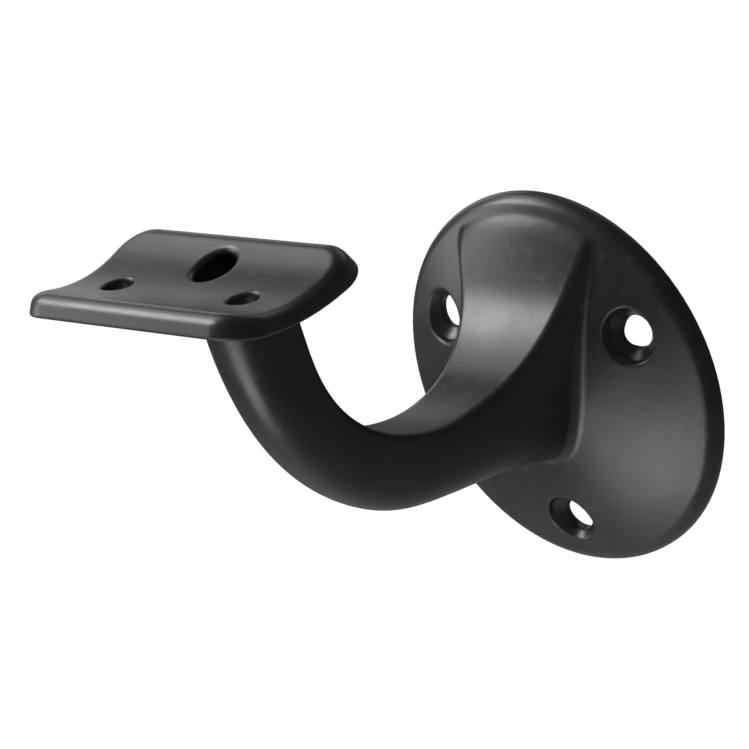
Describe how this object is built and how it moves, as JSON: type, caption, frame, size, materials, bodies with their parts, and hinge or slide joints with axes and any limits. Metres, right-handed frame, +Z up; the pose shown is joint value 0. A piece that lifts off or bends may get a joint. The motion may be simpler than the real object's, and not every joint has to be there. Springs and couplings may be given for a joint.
{
  "type": "handrail bracket",
  "caption": "Cast handrail bracket: a round domed wall rosette, a curved arm that swells out of it, and a troughed saddle plate for a round rail.",
  "frame": {"origin": "centre of the wall screws' circle, on the wall plane", "axes": "+X along the handrail, +Y into the wall, +Z up"},
  "size_m": [0.07, 0.0955, 0.0861],
  "materials": {
    "black_coat": "satin black powder coat on die-cast aluminium"
  },
  "bodies": {
    "root": {"bracket_casting": "black_coat"}
  },
  "joints": []
}
